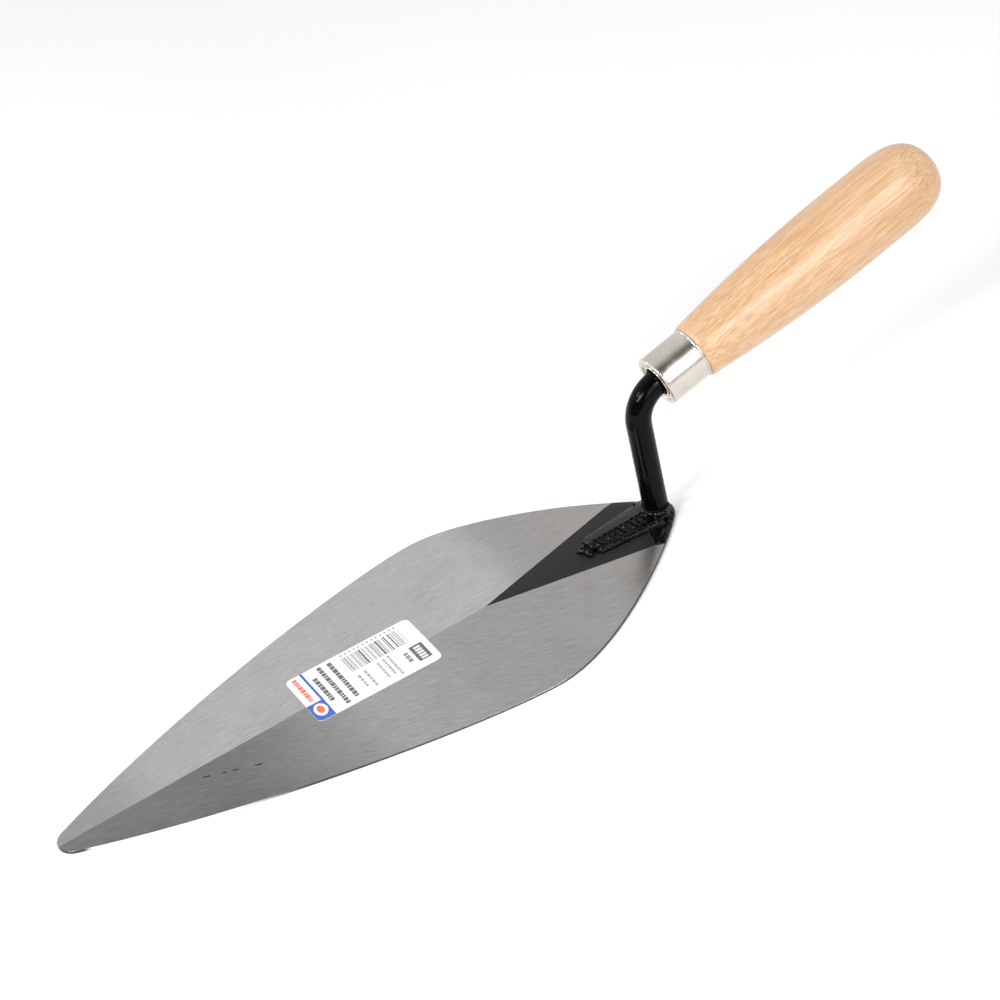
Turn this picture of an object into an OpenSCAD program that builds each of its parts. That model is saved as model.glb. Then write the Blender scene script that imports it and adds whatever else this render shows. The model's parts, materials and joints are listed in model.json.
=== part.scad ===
// Brick trowel: London-pattern steel blade, cranked round shank, ferrule and turned wooden handle.
// +X points to the blade's tip, +Z up, and the blade's flat underside lies on z = 0.
// Lengths below are measured from the heel of the blade; place() then moves the whole trowel so
// that the origin is under the middle of its length.

/* [Blade] */
// Length of the blade from heel to tip
blade_len = 280.6; // [265:0.1:300]
// Greatest width of the blade, across its shoulders
blade_w = 120.65; // [110:0.05:130]
// Distance of the shoulders from the heel
shoulder_x = 91; // [86:0.5:97]
// Thickness of the blade on its centre ridge at the heel
ridge_t = 2.6; // [2.2:0.1:3.2]
// Fall of the ridge for each millimetre towards the tip
ridge_fall = 0.004; // [0.002:0.001:0.005]
// Fall of the ground faces for each millimetre away from the ridge
side_fall = 0.021; // [0.015:0.001:0.025]
// Radius of the rounded heel
heel_r = 9; // [8:0.5:11]
// Radius of the rounded tip
tip_r = 7.5; // [6:0.5:9]
// Slope of the bevels ground on the two sides of the heel, in degrees
bevel_slope = 8; // [4:1:10]

/* [Foot] */
// Distance of the foot plate's front end from the heel
foot_l = 40.7; // [37:0.1:45]
// Width of the foot plate beside the shank
foot_w = 16.4; // [15:0.2:18]
// Width of the foot plate at its front corners
foot_front_w = 9.8; // [8:0.2:12]
// Height of the foot's centre crest above the blade's ridge
foot_h = 3.3; // [2.8:0.1:4]
// Radius of the weld beads along the foot's left edge and front
weld_r = 2.3; // [1.8:0.1:2.6]
// Radius of the weld bead along the foot's right edge
weld_small_r = 1.7; // [1.4:0.1:2.2]

/* [Shank] */
// Diameter of the round shank
rod_d = 10.5; // [9:0.1:12]
// Place of the shank's axis at the blade's underside
shank_x = 7.05; // [6.8:0.05:8.2]
// Backward lean of the upright stretch, in degrees
lean = 1.6; // [0:0.1:3]
// Length of the upright stretch, up to the bend
upright_l = 44.9; // [40:0.1:55]
// Radius of the bend on the shank's axis
bend_r = 15; // [12:0.5:20]

/* [Ferrule] */
// Outer diameter of the ferrule
ferrule_d = 21.8; // [20:0.1:23]
// Length of the ferrule
ferrule_l = 19.3; // [16:0.1:24]
// Wall of the ferrule
ferrule_wall = 0.8; // [0.6:0.1:1]
// Diameter of the hole that the shank passes through
ferrule_hole_d = 12.6; // [12.4:0.1:14]

/* [Handle] */
// Upward pitch of the handle, in degrees
pitch = 13; // [8:0.5:20]
// Length of the handle from the ferrule's front to the butt
handle_l = 144.4; // [130:0.1:160]
// Diameter of the wood where it meets the ferrule
collar_d = 23.8; // [23.6:0.1:25]
// Greatest diameter of the handle
handle_d = 33.6; // [30:0.1:36]
// Distance from the ferrule to the fullest part of the handle
belly = 99; // [90:1:104]
// Length of the tang from the ferrule's front to its point
tang_l = 84; // [60:1:100]

/* [Label] */
// Length of the paper label along the blade
label_l = 55.3; // [40:0.1:60]
// Width of the paper label
label_w = 32.1; // [25:0.1:36]
// Thickness of the paper label
label_t = 0.15; // [0.1:0.05:0.3]
// Distance of the label's middle from the heel
label_x = 144.2; // [130:0.1:160]

/* [Hidden] */
$fn = 96;
gap = 0.05;              // clearance of fitted faces
lap = 0.2;               // how far the straight stretches enter the bend
bend_swell = 0.04;       // the bend is this much thicker, so that it takes their ends

// Outline of the blade
heel_arc = 41;           // degrees of the heel's arc on each side
heel_pull = 18;          // length of the flank's first tangent
flank_pull = 29;         // tangent before the shoulder
shoulder_pull = 30;      // tangent after the shoulder
tip_pull = 70;           // tangent before the tip's arc
tip_arc = 26.5;          // half-angle of the point where the tip's arc starts
bevel_x = 5.5;           // where the heel's bevels meet on the ridge
bevel_turn = 50.3;       // direction of a bevel's upper edge, from the ridge

// Foot plate
foot_back_x = 2.6;
foot_back_w = 8;
foot_round_x = 5.8;      // the back corners
foot_round_w = 14.4;
foot_wide_x = 10.2;      // its widest place
foot_corner_x = foot_l - 2.5;
foot_tip_w = 6.4;
foot_fall = 0.022;       // fall of the crest towards the nose
foot_side_fall = 0.14;   // fall of the two top faces
weld_z = ridge_t - 0.3;  // height of the beads' axes
weld_turn = atan2((foot_w - foot_front_w) / 2, foot_corner_x - foot_wide_x);
weld_run = norm([foot_corner_x - foot_wide_x, (foot_w - foot_front_w) / 2]) - weld_r;
nose_r = 3;              // the thick end of the nose weld
nose_x = foot_l + 2;
nose_run = 7;
ring_reach = 1.8;        // spread of the ring weld on the foot
ring_h = 2.2;            // and its height on the shank

// Axis of the shank in the plane y = 0, as [x, z]
bend_start = [shank_x - upright_l * sin(lean), upright_l * cos(lean)];
bend_centre = bend_start - bend_r * [cos(lean), sin(lean)];
bend_end = bend_centre + bend_r * [sin(pitch), cos(pitch)];
rod_r = rod_d / 2;
rod_foot_z = ridge_t + gap;

// Ferrule, along the handle's axis from the ferrule's front
ferrule_r = ferrule_d / 2;
ferrule_in_r = ferrule_r - ferrule_wall;
edge_r = 1.3;            // rounding of the front edge
rim_in_r = ferrule_r - 1.9;
face_z = 0.6;            // the front face lies this far inside its rim
face_t = 1;
bead_r = 0.6;            // rolled edge at the wood

// Tang and handle, along the same axis
tang_start = 3.5;
tang_r = 3.8;
tang_tip_r = 1.8;
spigot_z = 3.6;
collar_round = 0.7;
collar_pull = 50;        // tangents of the swelling profile
collar_slope = 0.11;
belly_pull = 28;
butt_pull = 11;
butt_z = handle_l;
wood_z = ferrule_l;

label_y = -3.2;
label_turn = -2;
label_r = 2.5;

// Middle of the trowel's length, seen from the heel
center_x = (blade_len + bend_end[0] - butt_z * cos(pitch)) / 2;

// A cubic curve through a and d, drawn towards b and c
function curve(a, b, c, d, steps) = [for (i = [1:steps]) let (u = i / steps, v = 1 - u)
    v * v * v * a + 3 * v * v * u * b + 3 * v * u * u * c + u * u * u * d];

// An arc about a centre, from one angle to another
function arc(centre, r, from, to, steps) = [for (i = [0:steps]) let (t = from + (to - from) * i / steps)
    centre + r * [cos(t), sin(t)]];

// The blade's left edge from the heel to the tip
function blade_edge() = let (
    heel = arc([heel_r, 0], heel_r, 180, 180 - heel_arc, 8),
    flank_from = heel[8],
    shoulder = [shoulder_x, blade_w / 2],
    tip = arc([blade_len - tip_r, 0], tip_r, 90 - tip_arc, 0, 8))
    concat(heel,
        curve(flank_from, flank_from + heel_pull * [sin(heel_arc), cos(heel_arc)],
            shoulder - [flank_pull, 0], shoulder, 18),
        curve(shoulder, shoulder + [shoulder_pull, 0],
            tip[0] + tip_pull * [-cos(tip_arc), sin(tip_arc)], tip[0], 24),
        [for (i = [1:8]) tip[i]]);

// Moves a piece from the heel's frame to the trowel's own
module place() translate([-center_x, 0, 0]) children();

// Draws a piece on the left (1) or the right (-1) side of the blade
module on_side(side) {
    if (side < 0) mirror([0, 1, 0]) children();
    else children();
}

// The handle's axis: z runs from the ferrule's front to the butt
module on_handle() translate([bend_end[0], 0, bend_end[1]]) rotate([0, pitch - 90, 0]) children();

// Everything under a roof with a ridge along X that falls to both sides and towards the tip
module roof(z, fall_x, fall_y) {
    intersection_for (side = [-1, 1])
        translate([0, 0, z])
            rotate([-side * atan(fall_y), atan(fall_x), 0])
                translate([-60, -100, -40])
                    cube([400, 200, 40]);
}

module blade_outline() {
    edge = blade_edge();
    polygon(concat(edge, [for (i = [len(edge) - 2:-1:1]) [edge[i][0], -edge[i][1]]]));
}

// The wedge that the bevel takes off one side of the heel
module heel_bevel(side) {
    on_side(side)
        translate([0, 0, ridge_t])
            rotate([-atan(side_fall), atan(ridge_fall), 0])
                translate([bevel_x, 0, 0])
                    rotate([0, 0, bevel_turn])
                        rotate([-bevel_slope, 0, 0])
                            translate([-20, 0, 0])
                                cube([70, 30, 6]);
}

// Everything under the blade's top faces
module under_top() {
    difference() {
        roof(ridge_t, ridge_fall, side_fall);
        heel_bevel(1);
        heel_bevel(-1);
    }
}

// The blade: flat below, two ground faces above that meet on a centre ridge
module blade() color("silver") place()
    intersection() {
        linear_extrude(ridge_t + 1) blade_outline();
        under_top();
    }

module foot_outline() {
    half = [[foot_back_x, foot_back_w], [foot_round_x, foot_round_w], [foot_wide_x, foot_w],
        [foot_corner_x, foot_front_w], [foot_l, foot_tip_w]] / 2;
    left = [for (p = half) [2 * p[0], p[1]]];
    polygon(concat(left, [for (i = [len(left) - 1:-1:0]) [left[i][0], -left[i][1]]]));
}

// The rod's straight lower stretch, widened by extra
module upright(extra) {
    translate([shank_x, 0, 0])
        rotate([0, -lean, 0])
            translate([0, 0, rod_foot_z])
                cylinder(r = rod_r + extra, h = upright_l - rod_foot_z + lap);
}

// Foot plate: forged, with a low centre crest and a socket for the shank
module foot() color("#151518") place()
    difference() {
        intersection() {
            linear_extrude(ridge_t + foot_h) foot_outline();
            roof(ridge_t + foot_h, foot_fall, foot_side_fall);
        }
        under_top();
        upright(gap);
    }

// Shank: upright stretch, bend and the tang that the handle is driven onto
module shank() color("#101012") place() {
    upright(0);
    translate([bend_centre[0], 0, bend_centre[1]])
        rotate([90, 0, 0])
            rotate([0, 0, lean])
                rotate_extrude(angle = 90 - pitch - lean)
                    translate([bend_r, 0])
                        circle(rod_r + bend_swell);
    on_handle()
        rotate_extrude()
            polygon([[0, -lap], [rod_r, -lap], [rod_r, tang_start], [tang_r, tang_start],
                [tang_tip_r, tang_l], [0, tang_l]]);
}

// Ring weld: a hollow fillet around the shank, ending at the heel's edge
module shank_weld() color("#18181b") place()
    difference() {
        intersection() {
            translate([shank_x, 0, 0])
                rotate([0, -lean, 0])
                    rotate_extrude()
                        polygon(concat(
                            [[rod_r + gap, ridge_t]],
                            [[rod_r + gap, ridge_t + foot_h + ring_h]],
                            arc([rod_r + ring_reach, ridge_t + foot_h + ring_h], ring_reach - gap, 180, 270, 8),
                            [[rod_r + ring_reach, ridge_t]]));
            translate([heel_r, 0, 0]) cylinder(r = heel_r, h = 20);
        }
        roof(ridge_t + foot_h, foot_fall, foot_side_fall);
    }

// One round bead along a side edge of the foot
module side_bead(r) {
    translate([foot_wide_x, foot_w / 2, weld_z])
        rotate([0, 0, -weld_turn]) {
            rotate([0, 90, 0]) cylinder(r = r, h = weld_run);
            sphere(r);
            translate([weld_run, 0, 0]) sphere(r);
        }
}

module foot_weld(side, r) {
    on_side(side)
        difference() {
            side_bead(r);
            under_top();
            linear_extrude(10) foot_outline();
        }
}

module foot_weld_left() color("#141417") place() foot_weld(1, weld_r);

module foot_weld_right() color("#141417") place() foot_weld(-1, weld_small_r);

// Weld across the front of the foot, drawn out to a nose
module foot_weld_nose() color("#141417") place()
    difference() {
        union() {
            translate([foot_l, 0, weld_z])
                rotate([90, 0, 0])
                    cylinder(r = weld_r, h = nose_run, center = true);
            translate([nose_x, 0, weld_z]) sphere(nose_r);
        }
        under_top();
        linear_extrude(10) foot_outline();
    }

// Ferrule: a drawn cup with a rounded front edge, a set-back face and a rolled edge at the wood
module ferrule() color("#cfcbc4") place() on_handle()
    rotate_extrude() {
        polygon(concat(
            [[ferrule_hole_d / 2, face_z], [rim_in_r - 0.3, face_z], [rim_in_r, 0.1]],
            arc([ferrule_r - edge_r, edge_r], edge_r, -90, 0, 8),
            [[ferrule_r, ferrule_l], [ferrule_in_r, ferrule_l], [ferrule_in_r, face_z + face_t],
             [ferrule_hole_d / 2, face_z + face_t]]));
        translate([ferrule_in_r + bead_r, ferrule_l - bead_r]) circle(bead_r);
    }

// Handle: turned hardwood with a spigot in the ferrule and a blind bore for the tang
module handle() color("#dcae74") place() on_handle()
    rotate_extrude()
        polygon(concat(
            [[0, tang_l + 1], [tang_tip_r + gap, tang_l + 1], [tang_tip_r + gap, tang_l],
             [tang_r + gap, spigot_z], [ferrule_in_r - gap, spigot_z], [ferrule_in_r - gap, wood_z],
             [collar_d / 2 - collar_round, wood_z], [collar_d / 2, wood_z + collar_round]],
            curve([collar_d / 2, wood_z + collar_round],
                [collar_d / 2 + collar_slope * collar_pull, wood_z + collar_pull],
                [handle_d / 2, wood_z + belly - belly_pull], [handle_d / 2, wood_z + belly], 20),
            curve([handle_d / 2, wood_z + belly], [handle_d / 2, wood_z + belly + butt_pull],
                [handle_d / 2, butt_z], [0, butt_z], 20)));

module label_outline() {
    square([label_l - 2 * label_r, label_w], center = true);
    square([label_l, label_w - 2 * label_r], center = true);
    for (x = [-1, 1], y = [-1, 1])
        translate([x * (label_l / 2 - label_r), y * (label_w / 2 - label_r)]) circle(label_r);
}

// Paper label: follows both ground faces over the ridge
module label() color("white") place()
    difference() {
        intersection() {
            translate([label_x, label_y, 0])
                rotate([0, 0, label_turn])
                    linear_extrude(ridge_t + 1) label_outline();
            roof(ridge_t + label_t, ridge_fall, side_fall);
        }
        roof(ridge_t, ridge_fall, side_fall);
    }

blade();
foot();
shank();
shank_weld();
foot_weld_left();
foot_weld_right();
foot_weld_nose();
ferrule();
handle();
label();
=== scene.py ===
import json
import math
import random

import bpy
import bmesh
from mathutils import Matrix, Vector, noise
from mathutils.bvhtree import BVHTree

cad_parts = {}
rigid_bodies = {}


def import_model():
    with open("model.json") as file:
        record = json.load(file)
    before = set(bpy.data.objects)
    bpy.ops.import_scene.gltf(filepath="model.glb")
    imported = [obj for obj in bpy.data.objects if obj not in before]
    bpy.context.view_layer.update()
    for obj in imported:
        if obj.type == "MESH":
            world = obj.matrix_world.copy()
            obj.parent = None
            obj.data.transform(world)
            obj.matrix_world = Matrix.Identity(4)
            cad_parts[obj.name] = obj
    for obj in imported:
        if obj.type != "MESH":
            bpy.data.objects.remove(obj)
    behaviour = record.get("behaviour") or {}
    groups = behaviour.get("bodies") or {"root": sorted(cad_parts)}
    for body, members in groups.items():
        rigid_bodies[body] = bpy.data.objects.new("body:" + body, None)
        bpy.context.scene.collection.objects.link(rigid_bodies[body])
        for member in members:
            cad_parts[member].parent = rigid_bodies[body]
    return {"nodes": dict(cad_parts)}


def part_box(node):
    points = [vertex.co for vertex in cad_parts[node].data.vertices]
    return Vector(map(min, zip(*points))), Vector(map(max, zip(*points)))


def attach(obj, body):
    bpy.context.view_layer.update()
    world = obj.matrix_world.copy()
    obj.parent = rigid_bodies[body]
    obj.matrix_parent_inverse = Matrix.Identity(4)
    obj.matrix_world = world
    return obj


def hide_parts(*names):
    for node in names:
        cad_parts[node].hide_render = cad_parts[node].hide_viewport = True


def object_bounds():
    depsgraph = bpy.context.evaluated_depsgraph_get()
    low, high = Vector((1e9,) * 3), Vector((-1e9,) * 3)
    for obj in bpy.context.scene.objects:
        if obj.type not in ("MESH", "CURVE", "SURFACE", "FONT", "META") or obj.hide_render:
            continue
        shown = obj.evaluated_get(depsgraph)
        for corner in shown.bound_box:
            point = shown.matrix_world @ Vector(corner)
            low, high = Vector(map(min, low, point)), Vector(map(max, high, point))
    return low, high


for leftover in list(bpy.data.objects):
    bpy.data.objects.remove(leftover)
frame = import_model()
bpy.context.view_layer.update()
cad_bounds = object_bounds()
nodes = frame["nodes"]
MM = 0.001
random.seed(11)

# ---------------------------------------------------------------- places taken from the frame
heel_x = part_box("blade")[0].x                  # the blade's heel
foot_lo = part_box("foot")[0]
pitch = math.radians(13)                       # the handle rises this much towards the butt
axis = Vector((-math.cos(pitch), 0, math.sin(pitch)))
axis_up = Vector((math.sin(pitch), 0, math.cos(pitch)))
ferrule_lo, ferrule_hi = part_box("ferrule")
ferrule_mid = (ferrule_lo + ferrule_hi) / 2    # a point of the handle's axis

# ---------------------------------------------------------------- sizes, in millimetres
rod_x, rod_radius = 6.95, 5.25                 # the shank's foot, from the heel
heel_centre_x, heel_radius = 9, 9              # the round of the blade's heel
ferrule_half = 19.3 / 2 * MM
label_length, label_width = 55.3, 32.1
label_turn = math.radians(-2)


def from_heel(x, y, z=0.0):
    """A point given in millimetres from the blade's heel."""
    return Vector((heel_x + x * MM, y * MM, z * MM))


def tree_of(node):
    mesh = nodes[node].data
    return BVHTree.FromPolygons([v.co for v in mesh.vertices], [p.vertices for p in mesh.polygons])


top_of = {n: tree_of(n) for n in ("blade", "foot", "label", "shank")}


def drop(node, x, y):
    """Height of a CAD node's top face at a place."""
    hit = top_of[node].ray_cast(Vector((x, y, 1.0)), Vector((0, 0, -1)))
    return None if hit[0] is None else hit[0].z


# ---------------------------------------------------------------- materials

class Shade:
    """Short names for the nodes of one material."""

    def __init__(self, name):
        self.mat = bpy.data.materials.new(name)
        self.mat.use_nodes = True
        self.tree = self.mat.node_tree
        self.tree.nodes.clear()
        self.object = self.add("ShaderNodeTexCoord").outputs["Object"]

    def add(self, kind, **settings):
        node = self.tree.nodes.new(kind)
        for key, value in settings.items():
            setattr(node, key, value)
        return node

    def put(self, socket, value):
        if isinstance(value, bpy.types.NodeSocket):
            self.tree.links.new(value, socket)
        elif value is not None:
            wants_alpha = getattr(socket.default_value, "__len__", lambda: 0)() == 4
            socket.default_value = (*value, 1) if wants_alpha and len(value) == 3 else value

    def math(self, operation, a, b=None, c=None):
        node = self.add("ShaderNodeMath", operation=operation)
        for socket, value in zip(node.inputs, (a, b, c)):
            self.put(socket, value)
        return node.outputs[0]

    def vector(self, operation, a, b=None, scale=None):
        node = self.add("ShaderNodeVectorMath", operation=operation)
        self.put(node.inputs[0], a)
        self.put(node.inputs[1], b)
        self.put(node.inputs[3], scale)
        return node.outputs["Value" if operation in ("DOT_PRODUCT", "LENGTH") else "Vector"]

    def combine(self, x, y, z):
        node = self.add("ShaderNodeCombineXYZ")
        for socket, value in zip(node.inputs, (x, y, z)):
            self.put(socket, value)
        return node.outputs[0]

    def split(self, vector):
        node = self.add("ShaderNodeSeparateXYZ")
        self.put(node.inputs[0], vector)
        return node.outputs

    def noise(self, vector, scale, detail=3.0, rough=0.5):
        node = self.add("ShaderNodeTexNoise")
        self.put(node.inputs["Vector"], vector)
        self.put(node.inputs["Scale"], scale)
        self.put(node.inputs["Detail"], detail)
        self.put(node.inputs["Roughness"], rough)
        return node.outputs["Fac"]

    def cells(self, vector, detail):
        """Distance to the nearest cell centre, at the node's own scale."""
        node = self.add("ShaderNodeTexVoronoi")
        self.put(node.inputs["Vector"], vector)
        self.put(node.inputs["Detail"], detail)
        return node.outputs["Distance"]

    def remap(self, value, low, high, to_low=0.0, to_high=1.0, smooth=False):
        node = self.add("ShaderNodeMapRange", interpolation_type="SMOOTHSTEP" if smooth else "LINEAR")
        for socket, number in zip(node.inputs, (value, low, high, to_low, to_high)):
            self.put(socket, number)
        return node.outputs[0]

    def mix(self, fac, a, b):
        node = self.add("ShaderNodeMix", data_type="RGBA")
        self.put(node.inputs[0], fac)
        self.put(node.inputs[6], a)
        self.put(node.inputs[7], b)
        return node.outputs[2]

    def blend(self, fac, a, b):
        node = self.add("ShaderNodeMix", data_type="FLOAT")
        for socket, value in zip(node.inputs[:1] + node.inputs[2:4], (fac, a, b)):
            self.put(socket, value)
        return node.outputs[0]

    def bump(self, height, distance, strength=1.0, normal=None):
        node = self.add("ShaderNodeBump")
        self.put(node.inputs["Height"], height)
        self.put(node.inputs["Distance"], distance)
        self.put(node.inputs["Strength"], strength)
        self.put(node.inputs["Normal"], normal)
        return node.outputs[0]

    def finish(self, **sockets):
        shader = self.add("ShaderNodeBsdfPrincipled")
        for key, value in sockets.items():
            self.put(shader.inputs[key.replace("_", " ")], value)
        out = self.add("ShaderNodeOutputMaterial")
        self.tree.links.new(shader.outputs[0], out.inputs[0])
        return self.mat


def ground_steel():
    """Brushed steel ground in a different direction on each face, with the painted triangle at the heel."""
    s = Shade("ground_steel")
    place = s.vector("SCALE", s.vector("SUBTRACT", s.object, tuple(from_heel(0, 0))), scale=1 / MM)
    x, y, z = s.split(place)
    wide = s.math("ABSOLUTE", y)
    left = s.math("GREATER_THAN", y, 0.0)
    turn = math.radians(-25.5)                 # the left face's grinding lines, from the ridge
    along_left = s.vector("DOT_PRODUCT", place, (math.cos(turn), math.sin(turn), 0))
    across_left = s.vector("DOT_PRODUCT", place, (-math.sin(turn), math.cos(turn), 0))
    along = s.blend(left, x, along_left)
    across = s.blend(left, y, across_left)
    lines = s.combine(s.math("MULTIPLY", along, 0.11), s.math("MULTIPLY", across, 1.9), left)
    fine = s.combine(s.math("MULTIPLY", along, 0.35), s.math("MULTIPLY", across, 4.5), left)
    streaks = s.noise(lines, 1.0, 4.0, 0.62)
    hairs = s.noise(fine, 1.0, 3.0, 0.6)
    clouds = s.noise(place, 0.035, 3.0, 0.5)
    grain = s.math("MULTIPLY_ADD", streaks, 0.6, s.math("MULTIPLY", hairs, 0.4))
    tone = s.math("ADD", s.math("MULTIPLY", s.math("SUBTRACT", grain, 0.5), 1.5),
                  s.math("MULTIPLY", s.math("SUBTRACT", clouds, 0.5), 0.24))
    # painted light: each face gets its own brightness, changing slowly along its length and lighter in the
    # middle, matched to the photograph; it stands for the studio's reflection in the steel, not for the
    # steel's colour
    right_painted_bright = s.math("MULTIPLY", s.remap(x, 58, 84, smooth=True),
                          s.remap(x, 262, 225, smooth=True))
    right_painted_light = s.math("MULTIPLY_ADD", right_painted_bright, 0.13, 0.385)
    left_painted_bright = s.math("MULTIPLY", s.remap(x, 100, 140, smooth=True),
                         s.remap(x, 175, 140, smooth=True))
    left_painted_light = s.math("MULTIPLY_ADD", left_painted_bright, 0.05,
                        s.remap(x, 150, 215, 0.39, 0.215, smooth=True))
    level = s.blend(left, right_painted_light, left_painted_light)
    value = s.math("MULTIPLY", level, s.math("ADD", 1.0, tone))
    steel = s.combine(value, s.math("MULTIPLY", value, 0.982), s.math("MULTIPLY", value, 0.995))
    # heat colour in a ring around the weld
    from_weld = s.vector("LENGTH", s.vector("SUBTRACT", place, (7, 0, 0)))
    ring = s.math("MULTIPLY", s.remap(from_weld, 20, 34, smooth=True),
                  s.remap(from_weld, 60, 38, smooth=True))
    tint = s.math("MULTIPLY", ring, s.remap(s.noise(place, 0.06), 0.4, 0.7, 0.05, 0.35))
    steel = s.mix(tint, steel, (0.42, 0.34, 0.25))
    # specks of rust and dirt
    speck = s.remap(s.cells(place, 0.16), 0.055, 0.035, 0.0, 1.0)
    speck = s.math("MULTIPLY", speck, s.remap(s.noise(place, 0.09), 0.56, 0.60))
    steel = s.mix(s.math("MULTIPLY", speck, 0.55), steel, (0.10, 0.09, 0.08))

    # four short dark nicks in a row, and fine scratches
    row_start, row_way, row_side = (201.3, 15.4, 0), (0.903, -0.430, 0), (0.430, 0.903, 0)
    from_row = s.vector("SUBTRACT", place, row_start)
    run = s.vector("DOT_PRODUCT", from_row, row_way)
    ragged = s.math("MULTIPLY", s.math("SUBTRACT", s.noise(place, 0.8), 0.5), 0.8)
    off = s.math("ABSOLUTE", s.math("ADD", s.vector("DOT_PRODUCT", from_row, row_side), ragged))
    near = s.remap(off, 0.42, 0.22)
    nicks = 0.0
    for middle, half in ((0.0, 1.5), (9.0, 1.2), (13.6, 0.9), (20.5, 1.6)):
        apart = s.math("ABSOLUTE", s.math("SUBTRACT", run, middle))
        nicks = s.math("MAXIMUM", nicks, s.remap(apart, half, half - 0.3))
    steel = s.mix(s.math("MULTIPLY", nicks, near), steel, (0.03, 0.03, 0.03))
    drawn = s.combine(s.math("MULTIPLY", x, 0.10), s.math("MULTIPLY", wide, 3.2), 7.0)
    scratch = s.remap(s.noise(drawn, 1.0, 1.0), 0.735, 0.76)
    scratch = s.math("MULTIPLY", scratch, s.remap(s.noise(place, 0.05, 1.0), 0.52, 0.58))
    steel = s.mix(s.math("MULTIPLY", scratch, 0.5), steel, (0.12, 0.115, 0.11))

    # satin triangle with its uneven edge, and the gloss paint at the heel
    edge = s.math("MULTIPLY", s.math("SUBTRACT", s.noise(place, 1.4), 0.5), 0.35)
    triangle_end, triangle_slope = 89.5, 0.264
    triangle_half = s.math("MULTIPLY", s.math("SUBTRACT", triangle_end, x), triangle_slope)
    inside = s.math("SUBTRACT", triangle_half, wide)
    above = s.math("GREATER_THAN", z, 0.3)
    paint = s.math("MULTIPLY", s.remap(s.math("ADD", inside, edge), -0.1, 0.1), above)
    gloss_left = s.math("MULTIPLY_ADD", s.math("SUBTRACT", wide, 10.6), 0.31, 17.2)
    gloss_end = s.blend(left, 10.2, gloss_left)
    gloss = s.math("MULTIPLY", s.remap(s.math("SUBTRACT", gloss_end, x), -0.15, 0.15), paint)
    dust = s.noise(place, 0.9, 4.0, 0.6)
    satin = s.mix(s.remap(dust, 0.35, 0.75), (0.011, 0.011, 0.0135), (0.018, 0.018, 0.021))
    # painted shade and highlight on the cut edge: painted dark all round as shade, and painted bright near
    # the tip on the left side as a highlight
    facing = s.split(s.add("ShaderNodeNewGeometry").outputs["Normal"])[2]
    flank = s.remap(s.math("ABSOLUTE", facing), 0.75, 0.45)
    tip_painted_highlight = s.math("MULTIPLY", s.remap(x, 190, 225, smooth=True), s.remap(x, 274, 270, smooth=True))
    edge_painted_light = s.mix(s.math("MULTIPLY", tip_painted_highlight, left), (0.085, 0.08, 0.078), (0.88, 0.87, 0.86))
    steel = s.mix(flank, steel, edge_painted_light)
    colour = s.mix(paint, steel, satin)
    colour = s.mix(gloss, colour, (0.003, 0.003, 0.0033))
    rough_steel = s.math("MULTIPLY_ADD", hairs, 0.16, 0.26)
    rough = s.blend(paint, rough_steel, s.remap(dust, 0.3, 0.7, 0.40, 0.50))
    rough = s.blend(gloss, rough, 0.09)
    metal = s.math("SUBTRACT", 1.0, paint)
    relief = s.math("MULTIPLY", grain, metal)
    puddle = s.math("MULTIPLY", s.noise(place, 0.28, 2.0), gloss)
    normal = s.bump(relief, 0.012 * MM, 0.6)
    normal = s.bump(puddle, 1.2 * MM, 0.9, normal)
    across_tangent = s.blend(left, 0.0, -math.sin(turn))
    across_side = s.blend(left, 1.0, math.cos(turn))
    tangent = s.combine(across_tangent, across_side, 0.0)
    return s.finish(Base_Color=colour, Metallic=metal, Roughness=rough, Normal=normal, Anisotropic=0.65,
                    Tangent=tangent, Specular_IOR_Level=0.2)


def gloss_black(name="gloss_black", relief=0.15, scale=0.35, shine=0.10):
    """Thick dipped paint with sags and small pits."""
    s = Shade(name)
    place = s.vector("SCALE", s.object, scale=1 / MM)
    sags = s.noise(place, scale, 2.0, 0.45)
    pits = s.remap(s.noise(place, 2.4, 2.0, 0.5), 0.3, 0.42)
    dust = s.noise(place, 3.2, 4.0, 0.65)
    colour = s.mix(s.remap(dust, 0.45, 0.8), (0.0015, 0.0015, 0.0018), (0.0035, 0.0035, 0.004))
    rough = s.remap(dust, 0.35, 0.75, 0.05, 0.11)
    normal = s.bump(sags, relief * MM, 0.8)
    normal = s.bump(pits, 0.02 * MM, 0.35, normal)
    return s.finish(Base_Color=colour, Roughness=rough, Normal=normal, Specular_IOR_Level=shine)


def nickel():
    """Nickel plate over drawn steel: fine lines around and along, and dull handled patches."""
    s = Shade("nickel_ferrule")
    place = s.vector("SCALE", s.vector("SUBTRACT", s.object, tuple(ferrule_mid)), scale=1 / MM)
    along = s.vector("DOT_PRODUCT", place, tuple(axis))
    up = s.vector("DOT_PRODUCT", place, tuple(axis_up))
    _, side, _ = s.split(place)
    turned = s.noise(s.combine(s.math("MULTIPLY", along, 5.0), s.math("MULTIPLY", side, 0.15),
                               s.math("MULTIPLY", up, 0.15)), 1.0, 3.0, 0.6)
    drawn = s.noise(s.combine(s.math("MULTIPLY", along, 0.10), s.math("MULTIPLY", side, 2.2),
                              s.math("MULTIPLY", up, 2.2)), 1.0, 3.0, 0.6)
    patches = s.noise(place, 0.16, 4.0, 0.55)
    colour = s.mix(s.remap(patches, 0.35, 0.7), (0.60, 0.555, 0.50), (0.70, 0.65, 0.59))
    colour = s.mix(s.remap(drawn, 0.55, 0.8, 0.0, 0.35), colour, (0.50, 0.47, 0.42))
    rough = s.math("ADD", s.remap(patches, 0.3, 0.7, 0.17, 0.25), s.math("MULTIPLY", turned, 0.06))
    normal = s.bump(turned, 0.006 * MM, 0.5)
    normal = s.bump(drawn, 0.010 * MM, 0.5, normal)
    return s.finish(Base_Color=colour, Metallic=1.0, Roughness=rough, Normal=normal)


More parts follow.
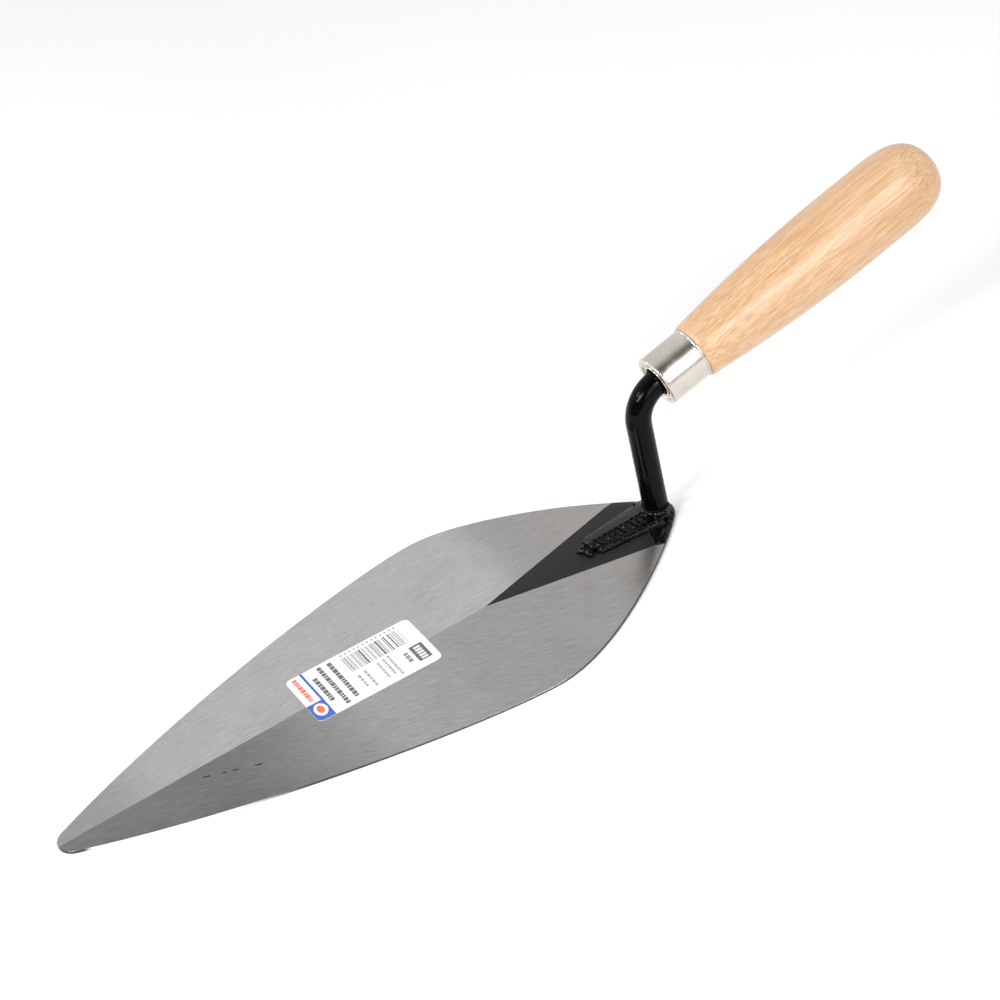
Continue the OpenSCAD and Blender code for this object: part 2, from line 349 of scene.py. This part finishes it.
def varnished_wood():
    """Straight-grained light hardwood under clear varnish."""
    s = Shade("varnished_wood")
    place = s.vector("SCALE", s.vector("SUBTRACT", s.object, tuple(ferrule_mid)), scale=1 / MM)
    along = s.vector("DOT_PRODUCT", place, tuple(axis))
    up = s.vector("DOT_PRODUCT", place, tuple(axis_up))
    _, side, _ = s.split(place)
    drift = s.noise(s.combine(s.math("MULTIPLY", along, 0.012), 3.1, 0.0), 1.0, 2.0)
    wander = s.math("MULTIPLY", s.math("SUBTRACT", drift, 0.5), 4.0)
    side = s.math("ADD", side, wander)

    def fibres(length, width, detail=3.0, rough=0.6, shift=0.0):
        return s.noise(s.combine(s.math("MULTIPLY_ADD", along, 1 / length, shift),
                                 s.math("MULTIPLY", side, 1 / width), s.math("MULTIPLY", up, 1 / width)),
                       1.0, detail, rough)

    bands = fibres(90, 5.5, 2.0, 0.5)
    grain = fibres(46, 0.62, 4.0, 0.70)
    pores = fibres(7, 0.42, 2.0, 0.5, 4.0)
    flecks = fibres(5.5, 1.5, 3.0, 0.6, 9.0)
    lines = fibres(85, 0.40, 2.0, 0.5, 23.0)
    dark_runs = s.remap(fibres(70, 0.7, 3.0, 0.62, 17.0), 0.58, 0.68)
    colour = s.mix(s.remap(bands, 0.3, 0.7), (0.715, 0.500, 0.310), (0.610, 0.380, 0.200))
    colour = s.mix(s.remap(grain, 0.42, 0.70, 0.0, 0.85), colour, (0.50, 0.245, 0.095))
    colour = s.mix(s.remap(flecks, 0.5, 0.72, 0.0, 0.22), colour, (0.86, 0.65, 0.42))
    colour = s.mix(s.remap(lines, 0.50, 0.62, 0.0, 0.60), colour, (0.50, 0.225, 0.075))
    colour = s.mix(s.math("MULTIPLY", dark_runs, 0.55), colour, (0.46, 0.215, 0.08))
    colour = s.mix(s.remap(pores, 0.64, 0.76, 0.0, 0.45), colour, (0.42, 0.23, 0.10))
    smudge = s.remap(s.noise(place, 0.045, 3.0, 0.55), 0.60, 0.78, 0.0, 0.22)
    colour = s.mix(smudge, colour, (0.45, 0.28, 0.16))
    rough = s.math("ADD", s.remap(grain, 0.3, 0.7, 0.38, 0.50), s.math("MULTIPLY", pores, 0.06))
    normal = s.bump(grain, 0.03 * MM, 0.4)
    normal = s.bump(pores, 0.03 * MM, 0.3, normal)
    wave = s.noise(place, 0.10, 2.0, 0.4)
    normal = s.bump(wave, 0.7 * MM, 0.30, normal)
    return s.finish(Base_Color=colour, Roughness=rough, Normal=normal, Coat_Weight=0.7, Coat_Roughness=0.30)


def label_paper():
    s = Shade("label_paper")
    place = s.vector("SCALE", s.object, scale=1 / MM)
    fibre = s.noise(place, 2.6, 5.0, 0.7)
    soil = s.noise(place, 0.12, 3.0, 0.55)
    colour = s.mix(s.remap(soil, 0.4, 0.75), (0.78, 0.785, 0.79), (0.74, 0.745, 0.75))
    colour = s.mix(s.remap(fibre, 0.5, 0.8, 0.0, 0.12), colour, (0.70, 0.71, 0.71))
    rough = s.remap(fibre, 0.3, 0.7, 0.38, 0.52)
    normal = s.bump(fibre, 0.02 * MM, 0.4)
    normal = s.bump(soil, 0.25 * MM, 0.3, normal)
    return s.finish(Base_Color=colour, Roughness=rough, Normal=normal, Coat_Weight=0.15, Coat_Roughness=0.25)


def ink(name, colour, worn=0.25):
    """Printed ink that is slightly patchy on the paper."""
    s = Shade(name)
    place = s.vector("SCALE", s.object, scale=1 / MM)
    patchy = s.noise(place, 1.8, 4.0, 0.6)
    paler = tuple(c + (0.8 - c) * worn for c in colour)
    tone = s.mix(s.remap(patchy, 0.35, 0.75), colour, paler)
    rough = s.remap(patchy, 0.3, 0.7, 0.36, 0.50)
    return s.finish(Base_Color=tone, Roughness=rough, Normal=s.bump(patchy, 0.01 * MM, 0.3))


steel = ground_steel()
black = gloss_black()
weld_black = gloss_black("weld_black", relief=0.20, scale=0.6, shine=0.20)
plate = nickel()
wood = varnished_wood()
paper = label_paper()


# ---------------------------------------------------------------- pieces

def piece(name, verts, faces, material, smooth_below=40, stands_for=()):
    """A new mesh piece on the trowel's one body."""
    mesh = bpy.data.meshes.new(name)
    mesh.from_pydata([tuple(v) for v in verts], [], faces)
    mesh.validate()
    ob = bpy.data.objects.new(name, mesh)
    bpy.context.scene.collection.objects.link(ob)
    tidy = bmesh.new()
    tidy.from_mesh(mesh)
    bmesh.ops.recalc_face_normals(tidy, faces=tidy.faces)
    tidy.to_mesh(mesh)
    tidy.free()
    dress(ob, material, smooth_below)
    if stands_for:
        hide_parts(*stands_for)
    return ob


def dress(ob, material, smooth_below):
    mesh = ob.data
    mesh.materials.clear()
    mesh.materials.append(material)
    mesh.polygons.foreach_set("use_smooth", [True] * len(mesh.polygons))
    mesh.set_sharp_from_angle(angle=math.radians(smooth_below))
    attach(ob, "root")


def rounded_copy(node, name, material, radius=0, sharper_than=0, shape=None):
    """A CAD node's own shape with its edges rounded, and an optional change of each point.

    With no radius only the thin triangles are merged.
    """
    ob = bpy.data.objects.new(name, bpy.data.meshes.new(name))
    bpy.context.scene.collection.objects.link(ob)
    work = bmesh.new()
    work.from_mesh(nodes[node].data)
    bmesh.ops.remove_doubles(work, verts=work.verts, dist=1e-6)
    if radius:
        bmesh.ops.dissolve_limit(work, angle_limit=math.radians(0.15), verts=work.verts, edges=work.edges)
        sharp = [e for e in work.edges if e.is_manifold and e.calc_face_angle(0) > math.radians(sharper_than)]
        bmesh.ops.bevel(work, geom=sharp, offset=radius, offset_type="OFFSET", segments=3, profile=0.5,
                        affect="EDGES", clamp_overlap=True)
    else:
        bmesh.ops.dissolve_degenerate(work, dist=4e-6, edges=work.edges)
    if shape:
        for v in work.verts:
            v.co = shape(v.co)
    work.to_mesh(ob.data)
    work.free()
    dress(ob, material, 25)
    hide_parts(node)
    return ob


# Blade, foot and handle
rounded_copy("blade", "blade_steel", steel, 0.22 * MM, 50)


def forged(co):
    """Small unevenness of a forged face."""
    wobble = noise.noise(co / (3.2 * MM)) * 0.10 * MM
    return co + Vector((0, 0, wobble if co.z > foot_lo.z + 0.8 * MM else 0))


rounded_copy("foot", "foot_plate", weld_black, 0.45 * MM, 12, forged)
rounded_copy("handle", "handle_wood", wood)


def bead(name, start, end, radius, ripples, stands_for):
    """A weld bead of half-round section on the blade, with a ripple for each drop of metal."""
    run = end - start
    along = run.normalized()
    out = Vector((0, 0, 1)).cross(along)
    steps = ripples * 6
    ring = 14
    overlap = 0.15 * MM
    verts, faces = [], []
    drops = [random.uniform(0.90, 1.06) for _ in range(ripples + 2)]
    drift = [random.uniform(-0.12, 0.12) for _ in range(ripples + 2)]
    for i in range(steps + 1):
        t = i / steps
        n, part = divmod(t * ripples, 1)
        n = int(n)
        bulge = 0.90 + 0.10 * math.sin(math.pi * min(1.0, part * 1.15)) ** 0.6
        ends = math.sqrt(max(0.0, 1 - max(0.0, 1 - min(t, 1 - t) * run.length / radius) ** 2))
        r = radius * bulge * drops[n] * max(0.12, ends)
        centre = start + run * t + out * drift[n] * MM
        for k in range(ring):
            a = math.pi * k / (ring - 1)
            lean = 0.55 * math.sin(a) * radius * 0.35
            p = centre + out * math.cos(a) * r + along * lean
            surface = drop("blade", p.x, p.y)
            base = surface if surface is not None else centre.z
            p.z = base - overlap + math.sin(a) * (r + overlap)
            verts.append(p)
    for i in range(steps):
        for k in range(ring):
            a, b = i * ring + k, i * ring + (k + 1) % ring
            faces.append((a, b, b + ring, a + ring))
    faces.append(tuple(range(ring - 1, -1, -1)))
    faces.append(tuple(steps * ring + k for k in range(ring)))
    return piece(name, verts, faces, weld_black, 70, stands_for)


# The beads along the foot, from its widest place to its front corners
wide_x, corner_x = 10.2, 38.2
wide_y, corner_y = 8.2, 4.9
for side, name, radius in ((1, "left", 2.3), (-1, "right", 1.5)):
    start = from_heel(wide_x - 2.0, side * (wide_y - 0.2))
    end = from_heel(corner_x + 0.6, side * corner_y)
    bead("weld_bead_" + name, start, end, radius * MM, 24, ("foot_weld_" + name,))


def lump(name, places):
    """Flattened drops of painted metal on the blade or foot: (x, y, radius, height) in mm from the heel."""
    verts, faces = [], []
    rings, around = 5, 14
    sunk = 0.12 * MM
    for x, y, r, h in places:
        base = len(verts)
        turn = random.uniform(0, 6.28)
        for i in range(rings):
            phi = math.pi / 2 * i / rings
            for k in range(around):
                a = 2 * math.pi * k / around
                wob = 1 + 0.10 * math.sin(2 * a + turn) + 0.05 * math.sin(3 * a - turn)
                p = from_heel(x + r * wob * math.cos(phi) * math.cos(a),
                              y + r * wob * math.cos(phi) * math.sin(a))
                ground = max(drop(n, p.x, p.y) or 0 for n in ("blade", "foot"))
                p.z = ground - sunk + (h * MM + sunk) * math.sin(phi)
                verts.append(p)
        top = from_heel(x, y)
        top.z = max(drop(n, top.x, top.y) or 0 for n in ("blade", "foot")) + h * MM
        verts.append(top)
        for i in range(rings - 1):
            for k in range(around):
                a, b = base + i * around + k, base + i * around + (k + 1) % around
                faces.append((a, b, b + around, a + around))
        last = base + (rings - 1) * around
        for k in range(around):
            faces.append((last + k, last + (k + 1) % around, len(verts) - 1))
        faces.append(tuple(base + k for k in range(around - 1, -1, -1)))
    return piece(name, verts, faces, weld_black, 60)


# Front of the foot: the cross weld, and the drops stacked out to its nose
bead("weld_bead_nose", from_heel(41.2, -3.4), from_heel(41.8, 5.6), 2.0 * MM, 7, ("foot_weld_nose",))
lump("weld_drops_nose", [(42.6, 0.0, 2.3, 2.4), (44.2, -0.6, 1.3, 1.3), (39.6, 1.6, 1.6, 0.9)])


def weld_ring():
    """The lumpy ring of metal around the shank's base."""
    weld_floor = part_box("shank_weld")[0].z
    centre = from_heel(rod_x, 0)
    heel_centre = from_heel(heel_centre_x, 0)
    rod = rod_radius * MM
    inner = rod - 0.3 * MM                     # the ring starts a little inside the rod
    heel_limit = (heel_radius - 0.3) * MM      # the ring stays on the blade's heel
    around, ring = 96, 12
    verts, faces = [], []
    for i in range(around):
        a = 2 * math.pi * i / around
        out = Vector((math.cos(a), math.sin(a), 0))
        ripple = 0.82 + 0.18 * abs(math.sin(a * 9.5 + 0.8 * math.sin(a * 2)))
        uneven = 1 + 0.22 * noise.noise(out * 2.3)
        reach = 1.9 * MM * ripple * uneven
        edge = centre + out * (rod + reach)
        past_heel = (edge - heel_centre).length - heel_limit
        if edge.x < heel_centre.x and past_heel > 0:
            reach = max(0.5 * MM, reach - past_heel)
        height = 1.6 * MM * ripple * uneven
        for k in range(ring):
            t = math.pi / 2 * k / (ring - 1)
            p = centre + out * (inner + (reach + 0.3 * MM) * math.cos(t) ** 0.9)
            grounds = [drop(n, p.x, p.y) for n in ("blade", "foot")]
            ground = max([g for g in grounds if g is not None] or [weld_floor])
            p.z = ground - 0.15 * MM + height * math.sin(t) ** 1.15
            verts.append(p)
    low = len(verts)
    for i in range(around):
        a = 2 * math.pi * i / around
        p = centre + Vector((math.cos(a), math.sin(a), 0)) * inner
        p.z = weld_floor - 0.5 * MM
        verts.append(p)
    for i in range(around):
        j = (i + 1) % around
        for k in range(ring - 1):
            faces.append((i * ring + k, j * ring + k, j * ring + k + 1, i * ring + k + 1))
        faces.append((low + i, low + j, j * ring, i * ring))
        faces.append((i * ring + ring - 1, j * ring + ring - 1, low + j, low + i))
    return piece("weld_ring", verts, faces, weld_black, 75, ("shank_weld",))


weld_ring()


def ring_on_axis(name, centre, radius, thick, stretch):
    """A rounded ring of plate about the handle's axis; stretch lengthens its section along the axis."""
    around, section = 72, 10
    side = Vector((0, 1, 0))
    verts, faces = [], []
    for i in range(around):
        a = 2 * math.pi * i / around
        out = side * math.cos(a) + axis_up * math.sin(a)
        for k in range(section):
            b = 2 * math.pi * k / section
            verts.append(centre + out * (radius + thick * math.cos(b)) + axis * thick * stretch * math.sin(b))
    for i in range(around):
        for k in range(section):
            j, m = (i + 1) % around, (k + 1) % section
            faces.append((i * section + k, j * section + k, j * section + m, i * section + m))
    return piece(name, verts, faces, plate, 80)


def scar(name, turn_from, turn_to, z_from, z_to, thick):
    """A thin raised line that runs slantwise round the shank."""
    steps, section = 24, 8
    path = []
    for i in range(steps + 1):
        t = i / steps
        a = math.radians(turn_from + (turn_to - turn_from) * t)
        out = Vector((math.cos(a), math.sin(a), 0))
        z = z_from + (z_to - z_from) * t ** 1.4
        hit = top_of["shank"].ray_cast(from_heel(6.5, 0, z) + out * 20 * MM, -out)[0]
        path.append((hit, out, thick * MM * max(0.15, math.sin(math.pi * t)) ** 0.5))
    verts, faces = [], []
    for i, (p, out, r) in enumerate(path):
        ahead = (path[min(i + 1, steps)][0] - path[max(i - 1, 0)][0]).normalized()
        across = ahead.cross(out).normalized()
        for k in range(section):
            b = 2 * math.pi * k / section
            verts.append(p + out * r * math.sin(b) + across * r * 1.3 * math.cos(b))
    for i in range(steps):
        for k in range(section):
            m = (k + 1) % section
            a = i * section
            faces.append((a + k, a + m, a + section + m, a + section + k))
    faces.append(tuple(range(section - 1, -1, -1)))
    faces.append(tuple(steps * section + k for k in range(section)))
    return piece(name, verts, faces, weld_black, 60)


scar("shank_scar", 25, 82, 25, 17.5, 0.40)
scar("shank_scar_low", 28, 66, 22.5, 17.5, 0.32)

# The ferrule's rolled edges: the lip on the wood, then the rim and the throat on the shank's side
ring_on_axis("ferrule_lip", ferrule_mid + axis * (ferrule_half - 0.5 * MM), 10.75 * MM, 0.42 * MM, 1.2)
ring_on_axis("ferrule_rim", ferrule_mid - axis * (ferrule_half - 0.35 * MM), 10.4 * MM, 0.55 * MM, 1.0)
ring_on_axis("ferrule_throat", ferrule_mid - axis * (ferrule_half - 0.2 * MM), 6.9 * MM, 0.55 * MM, 0.8)


def rib_field(name, ribs):
    """Short rounded bars on the foot: (x, y, length, width, height, turn), in millimetres and degrees."""
    verts, faces = [], []
    for x, y, along, across, height, turn in ribs:
        c, d = math.cos(math.radians(turn)), math.sin(math.radians(turn))
        base = len(verts)
        for inset, level in ((0.0, -0.15), (0.0, 0.3), (0.14, 0.7), (0.3, 1.0)):
            for sx, sy in ((-1, -1), (1, -1), (1, 1), (-1, 1)):
                dx, dy = sx * (along / 2 - inset), sy * (across / 2 - inset)
                p = from_heel(x + dx * c - dy * d, y + dx * d + dy * c)
                ground = drop("foot", p.x, p.y)
                if ground is None:
                    ground = drop("blade", p.x, p.y)
                p.z = ground + height * level * MM
                verts.append(p)
        for k in range(3):
            for i in range(4):
                a, b = base + 4 * k + i, base + 4 * k + (i + 1) % 4
                faces.append((a, b, b + 4, a + 4))
        faces.append(tuple(base + i for i in (3, 2, 1, 0)))
        faces.append(tuple(base + 12 + i for i in range(4)))
    return piece(name, verts, faces, weld_black, 30)


# Low forging ribs across the foot's left face, each with a short bar at either end
field = []
for i in range(9):
    x = 15.0 + 2.65 * i
    reach = 5.6 - 0.16 * i
    field.append((x, 0.6 + reach / 2, 0.9, random.uniform(0.7, 0.95) * reach, 0.8, random.uniform(-12, 12)))
    field.append((x + 1.25, 0.5, 1.5, 0.7, 0.8, random.uniform(-8, 8)))
    field.append((x + 1.2, 0.3 + reach, 1.6, 0.7, 0.7, random.uniform(-8, 8)))
    if i % 3 != 1:
        field.append((x + 1.3, random.uniform(2.2, 3.8), 1.2, 0.75, 0.5, random.uniform(-20, 20)))
rib_field("foot_ribs", field)

# Weld spatter around the shank's foot, kept on the blade's heel, and four larger drops
spatter = []
for _ in range(22):
    reach, turn = random.uniform(7.4, 11.5), random.uniform(-1.2, 2.5)
    x, y = 7.0 + reach * math.cos(turn) * 0.9, reach * math.sin(turn)
    if x < 15.0 and (x > 9.0 or math.hypot(x - 9.0, y) < 8.2) and abs(y) < x + 1.0:
        spatter.append((x, y, random.uniform(0.3, 0.8), random.uniform(0.2, 0.5)))
lump("heel_spatter", spatter + [(13.6, 2.6, 1.2, 1.0), (11.4, 6.4, 0.9, 0.9),
                                (15.0, 0.4, 0.9, 0.6), (6.6, 7.0, 0.8, 0.7)])


# Label print: plain blocks that stand for print, at (u, v) millimetres from the tip end and the right edge
def print_patch(name, boxes, material, lift=0.03):
    """Thin patches of ink that follow the label over the ridge; each box is (u0, u1, v0, v1)."""
    cos_turn, sin_turn = math.cos(label_turn), math.sin(label_turn)
    lo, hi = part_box("label")
    middle = (lo + hi) / 2
    verts, faces = [], []
    for u0, u1, v0, v1 in boxes:
        steps = max(1, math.ceil(v1 - v0))
        base = len(verts)
        for level in (lift, -0.05):
            for i in range(steps + 1):
                v = v0 + (v1 - v0) * i / steps
                for u in (u0, u1):
                    dx, dy = label_length / 2 - u, v - label_width / 2
                    x = middle.x + (dx * cos_turn - dy * sin_turn) * MM
                    y = middle.y + (dx * sin_turn + dy * cos_turn) * MM
                    verts.append((x, y, (drop("label", x, y) or hi.z) + level * MM))
        row = 2 * (steps + 1)
        for i in range(steps):
            a = base + 2 * i
            faces.append((a, a + 1, a + 3, a + 2))
            faces.append((a + row, a + row + 2, a + row + 3, a + row + 1))
            faces.append((a, a + 2, a + row + 2, a + row))
            faces.append((a + 1, a + row + 1, a + row + 3, a + 3))
        faces.append((base, base + row, base + row + 1, base + 1))
        last = base + 2 * steps
        faces.append((last, last + 1, last + row + 1, last + row))
    return piece(name, verts, faces, material, 30)


def words(u0, u1, v0, v1, longest=5.0, gap=0.7):
    """A line of print as a row of plain blocks."""
    row, v = [], v0
    while v < v1 - 0.8:
        end = min(v1, v + random.uniform(0.35, 1.0) * longest)
        row.append((u0, u1, v, end))
        v = end + gap
    return row


def disc(u, v, half_u, half_v):
    """An oval as narrow strips, 0.01 mm apart so that they share no edge."""
    slices = 16
    strips = []
    for i in range(slices):
        t = (i + 0.5) / slices * 2 - 1
        reach = half_u * math.sqrt(1 - t * t)
        strips.append((u - reach, u + reach,
                       v + half_v * (t - 1 / slices) + 0.01, v + half_v * (t + 1 / slices)))
    return strips


bars, u = [], 23.6
while u < 49.0:
    thick = random.choice((0.22, 0.22, 0.4, 0.55, 0.8))
    bars.append((u, min(49.2, u + thick), 3.6, 14.4))
    u += thick + random.choice((0.3, 0.3, 0.55, 0.9))
dark_bars = bars[::2]
pale_bars = bars[1::2]
dark_ink = ink("ink_dark", (0.045, 0.042, 0.042))
grey_ink = ink("ink_grey", (0.17, 0.165, 0.165))
pale_ink = ink("ink_pale", (0.30, 0.30, 0.30))
blue_ink = ink("ink_blue", (0.035, 0.095, 0.42), 0.05)
red_ink = ink("ink_red", (0.83, 0.115, 0.045), 0.12)
print_patch("print_title", words(9.2, 11.1, 6.8, 24.6, 2.6, 0.4) + words(13.3, 15.2, 1.8, 29.8, 2.6, 0.4)
            + words(17.7, 19.6, 2.2, 28.5, 2.6, 0.4), dark_ink)
print_patch("print_bars_dark", dark_bars, dark_ink)
print_patch("print_bars_pale", pale_bars, pale_ink)
print_patch("print_small", words(23.9, 25.0, 18.0, 27.4, 2.5, 0.5) + words(27.0, 28.1, 17.2, 28.8, 2.5, 0.5)
            + words(33.0, 34.0, 16.9, 28.5, 2.0, 0.4) + words(35.7, 36.7, 16.4, 28.4, 2.0, 0.4)
            + words(38.0, 39.0, 15.7, 30.2, 2.0, 0.4) + words(25.0, 25.01, 0.9, 1.8)
            + [(24.0 + 2.0 * i, 24.9 + 2.0 * i, 1.2, 2.3) for i in range(13)], pale_ink)
print_patch("print_code", words(43.6, 45.4, 19.6, 26.4, 2.2, 0.5), grey_ink)
print_patch("print_box", [(47.0, 52.6, 17.8, 28.1)], dark_ink)
print_patch("print_box_fill", [(48.4, 51.2, 19.0 + 1.8 * i, 20.2 + 1.8 * i) for i in range(5)], paper, 0.06)
print_patch("print_band", [(6.5, 7.5, 0.05, 32.05)], blue_ink)
corner = []                                    # strips that follow the label's round corner
for i in range(5):
    reach = math.sqrt(6.25 - (2.25 - 0.5 * i) ** 2)
    corner.append((0.5 * i + 0.05, 0.5 * i + 0.54, 20.5, 29.45 + reach))
print_patch("print_corner", corner + [(2.55, 6.6, 20.5, 32.0)], blue_ink)
print_patch("print_mark", words(2.4, 4.3, 1.6, 18.6, 2.4, 0.5), red_ink)
print_patch("print_disc", disc(3.9, 25.6, 2.7, 3.9), paper, 0.05)
print_patch("print_disc_mark", disc(3.9, 25.4, 1.5, 2.5), red_ink, 0.07)


# ---------------------------------------------------------------- CAD nodes that keep their shape
for node, material in (("shank", black), ("ferrule", plate), ("label", paper)):
    for slot in nodes[node].material_slots:
        slot.material = material


# ---------------------------------------------------------------- stage, light and camera
def floor():
    s = Shade("floor")
    colour = s.mix(s.remap(s.noise(s.object, 3.0), 0.3, 0.7), (0.90, 0.90, 0.90), (0.93, 0.93, 0.93))
    mesh = bpy.data.meshes.new("floor")
    size = 6.0
    corners = [(-size, -size, 0), (size, -size, 0), (size, size, 0), (-size, size, 0)]
    mesh.from_pydata(corners, [], [(0, 1, 2, 3)])
    mesh.materials.append(s.finish(Base_Color=colour, Roughness=0.85))
    ob = bpy.data.objects.new("floor", mesh)
    bpy.context.scene.collection.objects.link(ob)


floor()

view_side = Vector((0.378, 0.926, 0))           # level direction from the trowel to the camera


def studio_world():
    """A studio that is light behind the trowel, seen from the camera, and dim on the camera's side."""
    world = bpy.data.worlds.new("studio")
    bpy.context.scene.world = world
    world.use_nodes = True
    tree = world.node_tree
    place = tree.nodes.new("ShaderNodeTexCoord")
    dot = tree.nodes.new("ShaderNodeVectorMath")
    dot.operation = "DOT_PRODUCT"
    dot.inputs[1].default_value = view_side
    tree.links.new(place.outputs["Generated"], dot.inputs[0])
    level = tree.nodes.new("ShaderNodeMapRange")
    level.interpolation_type = "SMOOTHSTEP"
    for socket, value in zip(level.inputs[1:5], (-0.33, 0.34, 0.90, 0.08)):
        socket.default_value = value
    tree.links.new(dot.outputs["Value"], level.inputs[0])
    tree.nodes["Background"].inputs["Color"].default_value = (1, 1, 1, 1)
    tree.links.new(level.outputs[0], tree.nodes["Background"].inputs["Strength"])


def softbox(name, direction, distance, size_x, size_y, power):
    """An area light facing the trowel's middle."""
    light = bpy.data.lights.new(name, "AREA")
    light.shape = "RECTANGLE"
    light.size, light.size_y, light.energy = size_x, size_y, power
    lamp = bpy.data.objects.new(name, light)
    bpy.context.scene.collection.objects.link(lamp)
    middle = (cad_bounds[0] + cad_bounds[1]) / 2
    away = Vector(direction).normalized()
    lamp.location = middle + away * distance
    lamp.rotation_euler = away.to_track_quat("Z", "Y").to_euler()


studio_world()
softbox("left_key", (0.90, 0.35, 0.80), 1.7, 0.6, 0.45, 16)
softbox("camera_side", (-0.05, 0.85, 0.38), 1.6, 1.4, 0.9, 9)
softbox("high_camera", (-0.12, 0.78, 0.58), 1.6, 0.5, 0.35, 7)
softbox("spark_camera", (-0.31, 0.58, 0.75), 1.6, 0.14, 0.14, 3)
softbox("spark_left", (0.75, -0.20, 0.70), 1.6, 0.16, 0.16, 5)
softbox("spark_back", (0.58, -0.75, 0.32), 1.6, 0.16, 0.16, 3)

azimuth, elevation, roll = math.radians(157.78), math.radians(35.33), math.radians(-15.37)
back = Vector((math.sin(azimuth) * math.cos(elevation), -math.cos(azimuth) * math.cos(elevation),
               math.sin(elevation)))
camera = bpy.data.objects.new("camera", bpy.data.cameras.new("camera"))
bpy.context.scene.collection.objects.link(camera)
camera.data.lens = 108
camera.data.sensor_width = 36
camera.data.clip_start = 0.05
camera.matrix_world = (Matrix.Translation(from_heel(429.7, 877.2, 716.8))
                       @ (-back).to_track_quat("-Z", "Y").to_matrix().to_4x4()
                       @ Matrix.Rotation(roll, 4, "Z"))
bpy.context.scene.camera = camera
bpy.context.scene.view_settings.view_transform = "Standard"

bpy.context.view_layer.update()
